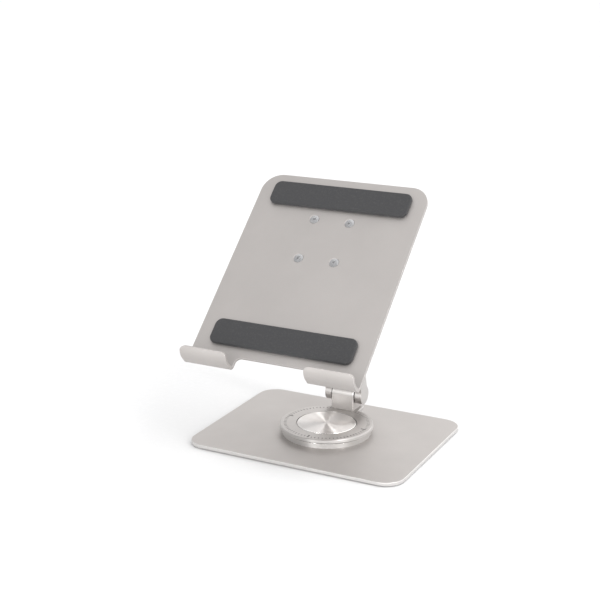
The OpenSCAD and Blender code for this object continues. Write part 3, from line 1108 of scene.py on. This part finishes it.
def make_camera():
    """The camera looks down on the base from the front right, aimed a little above it."""
    back = direction(CAMERA_AZIMUTH, CAMERA_ELEVATION)
    right = (-back).cross(Vector((0, 0, 1))).normalized()
    up = right.cross(-back)
    roll = math.radians(CAMERA_ROLL)
    plate_top = Vector((0, 0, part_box("base_plate")[1].z))
    place = plate_top + back * CAMERA_DISTANCE + right * CAMERA_AIM[0] + up * CAMERA_AIM[1]
    level = right * math.cos(roll) + up * math.sin(roll)
    upright = up * math.cos(roll) - right * math.sin(roll)
    data = bpy.data.cameras.new("camera")
    data.sensor_width = 36
    data.lens = CAMERA_LENS
    data.clip_start, data.clip_end = 0.01, 100
    camera = bpy.data.objects.new("camera", data)
    camera.matrix_world = Matrix.Translation(place) @ Matrix((level, upright, back)).transposed().to_4x4()
    bpy.context.scene.collection.objects.link(camera)
    bpy.context.scene.camera = camera


def make_soft_box(name, azimuth, elevation, distance, size, power):
    """A rectangular soft box aimed at the stand's lower part."""
    data = bpy.data.lights.new(name, "AREA")
    data.shape = "RECTANGLE"
    data.size, data.size_y = size
    data.energy = power
    light = bpy.data.objects.new(name, data)
    away = direction(azimuth, elevation)
    light.location = Vector((0, 0, LIGHT_AIM)) + away * distance
    light.rotation_mode = "QUATERNION"
    light.rotation_quaternion = away.to_track_quat("Z", "Y")
    bpy.context.scene.collection.objects.link(light)


def make_sun(name, azimuth, elevation, strength, angle):
    """A broad, even light that reaches the whole floor."""
    data = bpy.data.lights.new(name, "SUN")
    data.energy = strength
    data.angle = math.radians(angle)
    light = bpy.data.objects.new(name, data)
    light.rotation_mode = "QUATERNION"
    light.rotation_quaternion = direction(azimuth, elevation).to_track_quat("Z", "Y")
    bpy.context.scene.collection.objects.link(light)


def make_floor():
    """Pale paper with a painted shade: its colour is greyer near the stand, so that the soft shadow shows in the
    bright light there.
    """
    mesh = bpy.data.meshes.new("floor")
    bm = bmesh.new()
    bmesh.ops.create_grid(bm, x_segments=1, y_segments=1, size=FLOOR_HALF)
    bm.to_mesh(mesh)
    bm.free()
    floor = bpy.data.objects.new("floor", mesh)
    bpy.context.scene.collection.objects.link(floor)
    paper = Shader("floor_paper", Roughness=0.9)
    shade_fade = paper.spread(paper.radius(), 0, 1, *FLOOR_SHADE_FADE)
    fibres = paper.spread(paper.noise(3, 3), -0.1, 0.1)
    # Painted shade: the paper's colour is darker near the stand than far from it
    near, far = scaled((1, 1, 1), 0.78), scaled((1, 1, 1), 0.9)
    tone = paper.blend(paper.maths("ADD", shade_fade, fibres), near, far)
    mesh.materials.append(paper.set(Base_Color=tone))


def make_sky():
    """A studio that is white at the horizon and greyer overhead."""
    world = bpy.data.worlds.new("studio")
    bpy.context.scene.world = world
    world.use_nodes = True
    tree = world.node_tree
    parts = tree.nodes.new("ShaderNodeSeparateXYZ")
    ramp = tree.nodes.new("ShaderNodeValToRGB")
    tree.links.new(tree.nodes.new("ShaderNodeTexCoord").outputs["Generated"], parts.inputs[0])
    tree.links.new(parts.outputs[2], ramp.inputs[0])
    tree.links.new(ramp.outputs[0], tree.nodes["Background"].inputs[0])
    stops = ramp.color_ramp.elements
    stops[0].position, stops[0].color = 0.1, colour(1.0, 1.0, 1.0)
    stops[1].position, stops[1].color = 1.0, colour(0.55, 0.55, 0.56)
    middle = stops.new(0.35)
    middle.color = colour(0.82, 0.82, 0.82)


def make_stage():
    """A pale floor in a plain, softly lit studio."""
    make_floor()
    make_sky()
    make_sun("sky_light", 150, 58, 1.65, 100)
    make_soft_box("front_box", 25, 13, 1.1, (1.2, 0.3), 3.5)
    make_soft_box("left_strip", -9, 18, 1.1, (0.2, 0.5), 2.4)
    make_soft_box("side_strip", 68, 38, 0.9, (0.05, 0.8), 2.9)
    bpy.context.scene.view_settings.view_transform = "Standard"


make_base_plate()
make_base_pad()
make_seat_ring()
make_swivel_disc()
make_centre_cap()
make_hinge_block()
make_arm()
make_end_caps("lower", 0)
make_end_caps("upper", ARM_LENGTH)
make_hinge_bracket()
make_cradle_plate()
make_back_pad("top_back_pad")
make_back_pad("bottom_back_pad")
make_hook_liner("left")
make_hook_liner("right")
make_bracket_screws()
finish_inner_nodes()
make_camera()
make_stage()
